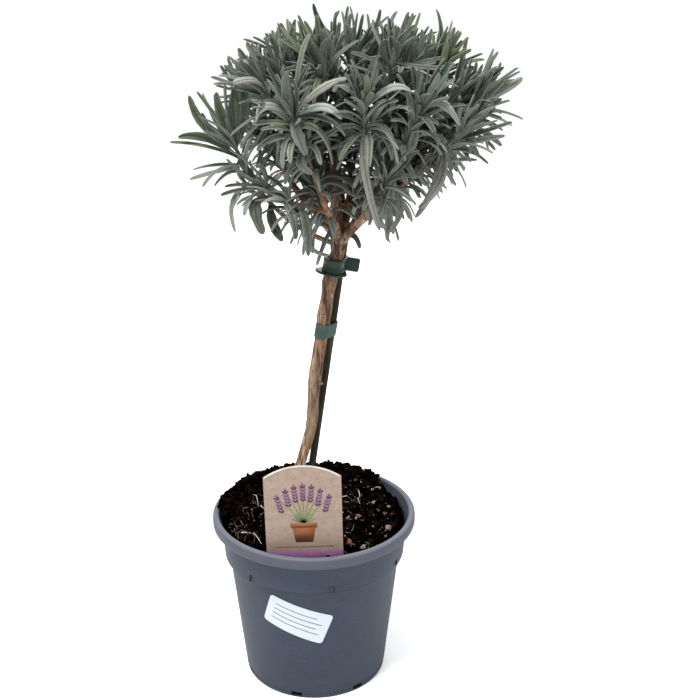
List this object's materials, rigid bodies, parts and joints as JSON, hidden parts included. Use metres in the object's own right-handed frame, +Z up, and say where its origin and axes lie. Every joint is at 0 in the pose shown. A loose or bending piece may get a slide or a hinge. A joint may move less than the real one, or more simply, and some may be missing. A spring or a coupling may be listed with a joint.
{
  "type": "potted lavender",
  "caption": "Lavender trained as a small tree: a leafy crown on a bare staked trunk in a tapered nursery pot with a plant label.",
  "frame": {"origin": "the middle of the pot's underside, on the surface it stands on", "axes": "+Z up the pot; -Y is the side with the plant label, facing the viewer; +X to the viewer's right, the way the trunk leans"},
  "size_m": [0.2131, 0.185, 0.4613],
  "materials": {
    "pot_plastic": "satin grey with fine scuffs and dust",
    "soil": "damp, crumbly, rough",
    "bark": "fissured bark, rough",
    "stake_wood": "weathered, dull",
    "tie_moulded": "dark green, glossy",
    "tie_tape": "grey-green, matte",
    "label_card": "uncoated kraft card",
    "sticker_paper": "smooth white paper",
    "leaf": "grey-green, finely felted"
  },
  "bodies": {
    "root": {"pot": "pot_plastic", "soil": "soil", "trunk": "bark", "stake": "stake_wood", "upper_tie": "tie_moulded", "lower_tie": "tie_tape", "label": "label_card", "sticker": "sticker_paper", "shoot_01": "leaf", "shoot_02": "leaf", "shoot_03": "leaf", "shoot_04": "leaf", "shoot_05": "leaf", "shoot_06": "leaf", "shoot_07": "leaf", "shoot_08": "leaf", "shoot_09": "leaf", "shoot_10": "leaf", "shoot_11": "leaf", "shoot_12": "leaf", "shoot_13": "leaf", "shoot_14": "leaf", "shoot_15": "leaf", "shoot_16": "leaf", "shoot_17": "leaf", "shoot_18": "leaf", "shoot_19": "leaf", "shoot_20": "leaf", "shoot_21": "leaf", "shoot_22": "leaf", "shoot_23": "leaf", "shoot_24": "leaf", "shoot_25": "leaf", "shoot_26": "leaf", "shoot_27": "leaf", "shoot_28": "leaf", "shoot_29": "leaf", "shoot_30": "leaf", "shoot_31": "leaf", "shoot_32": "leaf", "shoot_33": "leaf", "shoot_34": "leaf"}
  },
  "joints": []
}
